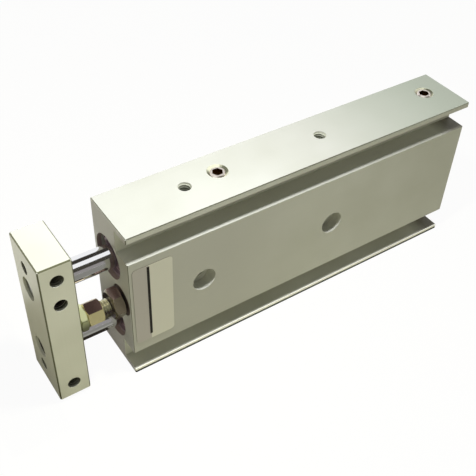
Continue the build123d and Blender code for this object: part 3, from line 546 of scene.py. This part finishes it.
paper, tree, shader = new_finish("white paper", "#DAD8BC", 0.0, 0.9)[:3]
floor_reach, white_share = 3, 0.96
shader.inputs["Specular IOR Level"].default_value = 0.0
share = add(tree, "Math", {0: plain_view(tree), 1: white_share}, operation="MULTIPLY").outputs[0]
glow = add(tree, "Emission", {"Color": (1, 1, 1, 1), "Strength": 1.0}).outputs[0]
lit = add(tree, "MixShader", {0: share, 1: shader.outputs[0], 2: glow})
tree.links.new(lit.outputs[0], tree.nodes["Material Output"].inputs["Surface"])
floor_signs = ((-1, -1), (1, -1), (1, 1), (-1, 1))
studio_sheet("floor", [(x * floor_reach, y * floor_reach, 0) for x, y in floor_signs], paper)


# Studio: a white surround, and black and grey boards that only show as bands in
# the metal. Far boards lie along the object, flags stand close round the upper
# rod so that its bands run on to the cover, and cards lie on the floor.
def board(name, colour, corners):
    """Matt board between four corners, which only a mirroring surface shows."""
    material, tree = new_finish(name, "#000000", 0.0, 1.0)[:2]
    matt = add(tree, "Emission", {"Color": linear(colour), "Strength": 1.0})
    tree.links.new(matt.outputs[0], tree.nodes["Material Output"].inputs["Surface"])
    piece = studio_sheet(name, corners, material)
    piece.visible_camera = False
    piece.visible_diffuse = False
    piece.visible_shadow = False
    piece.visible_transmission = False
    return tree, matt


def edge_at(distance, degrees):
    """The (y, z) of a board's edge round the rods: 0 is straight behind them, 90 above and 180 in front."""
    angle = math.radians(degrees)
    return distance * math.cos(angle), distance * math.sin(angle) + middle_z


def strip(first_edge, second_edge, start, end):
    """Corners of a board along the object's long axis, straight from one (y, z) edge to the other."""
    return [(start, *first_edge), (end, *first_edge), (end, *second_edge), (start, *second_edge)]


def flag(name, colour, first, second):
    """Small one-sided board at the rod end face, its edges on the view rays that the upper rod mirrors."""
    flag_x, rod_radius, view_angle, reach = -0.0526, 0.003, 131.4, 0.0135
    corners = []
    for degrees, lengths in ((first, (0, reach)), (second, (reach, 0))):
        normal, away = math.radians((view_angle + degrees) / 2), math.radians(degrees)
        for length in lengths:
            y = bore_y + rod_radius * math.cos(normal) + length * math.cos(away)
            z = rod_a_z + rod_radius * math.sin(normal) + length * math.sin(away)
            corners.append((flag_x, y, z))
    tree, matt = board(name, colour, corners)
    from_rod = add(tree, "NewGeometry").outputs["Backfacing"]
    nothing = add(tree, "BsdfTransparent").outputs[0]
    one_sided = add(tree, "MixShader", {0: from_rod, 1: nothing, 2: matt.outputs[0]})
    tree.links.new(one_sided.outputs[0], tree.nodes["Material Output"].inputs["Surface"])


behind, above, in_front = (49, 86), (122, 154), (154, 181)
black_behind, black_above = "#3A3733", "#45423B"
for name, colour, distance, edges, start, end in (
    ("black_board_behind", black_behind, 0.5, behind, -0.45, 0.75),
    ("black_board_above", black_above, 0.5, above, -0.45, 0.75),
    ("grey_board_in_front", "#969290", 0.8, in_front, -1.2, 1.2),
):
    board(name, colour, strip(*[edge_at(distance, degrees) for degrees in edges], start, end))
flag("black_flag_behind", black_behind, *behind)
flag("white_flag", "#FFFFFF", behind[1], above[0])
flag("black_flag_above", black_above, *above)

card_z, card_reach = 0.0002, 1.2
for name, colour, front, back in (
    ("grey_card", "#8A8982", -0.9, -0.026),
    ("pale_card", "#A09F96", -0.026, -0.013),
    ("dark_card", "#2E2A24", -0.013, 0.030),
):
    board(name, colour, strip((front, card_z), (back, card_z), -card_reach, card_reach))

# A black card on the floor beside the plate keeps the paper's light off its foot.
# It is seen by nothing but that light.
left, near_plate, front, back, shade_z = -0.088, -0.0728, -0.015, 0.03, 0.0003
card_corners = strip((front, shade_z), (back, shade_z), left, near_plate)
card = studio_sheet("card_beside_plate", card_corners, new_finish("black card", "#050505", 0.0, 0.9)[0])
card.visible_camera = False
card.visible_glossy = False
card.visible_shadow = False
card.visible_transmission = False

# Surround: white where it is seen, and dimmer in the light that it gives.
world = bpy.data.worlds.new("studio")
world.use_nodes = True
bpy.context.scene.world = world
tree = world.node_tree
surround = tree.nodes["Background"]
surround.inputs["Color"].default_value = (1, 1, 1, 1)
level = add(tree, "MapRange", {"Value": plain_view(tree), "To Min": 0.30, "To Max": 1.0})
tree.links.new(level.outputs[0], surround.inputs["Strength"])


# Lamps: a small one over the rod end, and wide dim ones in front, at the left and
# behind at the left. None of them shows in the metal.
def softbox(name, size, power, colour, place, target):
    """Round soft lamp at a place, turned to a target."""
    lamp_data = bpy.data.lights.new(name, "AREA")
    lamp_data.shape = "DISK"
    lamp_data.size = size
    lamp_data.energy = power
    lamp_data.color = linear(colour)[:3]
    lamp = bpy.data.objects.new(name, lamp_data)
    lamp.location = place
    lamp.rotation_euler = (Vector(target) - lamp.location).to_track_quat("-Z", "Y").to_euler()
    lamp.visible_glossy = False
    bpy.context.scene.collection.objects.link(lamp)


wide, rod_end = 0.2, (-0.05, 0.0, 0.02)
softbox("lamp_above", 0.014, 0.30, "#FCFDFF", (-0.036, -0.021, 0.156), (-0.036, 0.0, 0.02))
softbox("lamp_in_front", wide, 0.30, "#FFFDD8", (0.30, -0.35, 0.10), (0.0, 0.0, 0.02))
softbox("lamp_at_left", wide, 0.29, "#FFFAD6", (-0.30, -0.28, 0.14), rod_end)
softbox("lamp_behind_left", wide, 0.42, "#FFF4DC", (-0.26, 0.30, 0.12), rod_end)
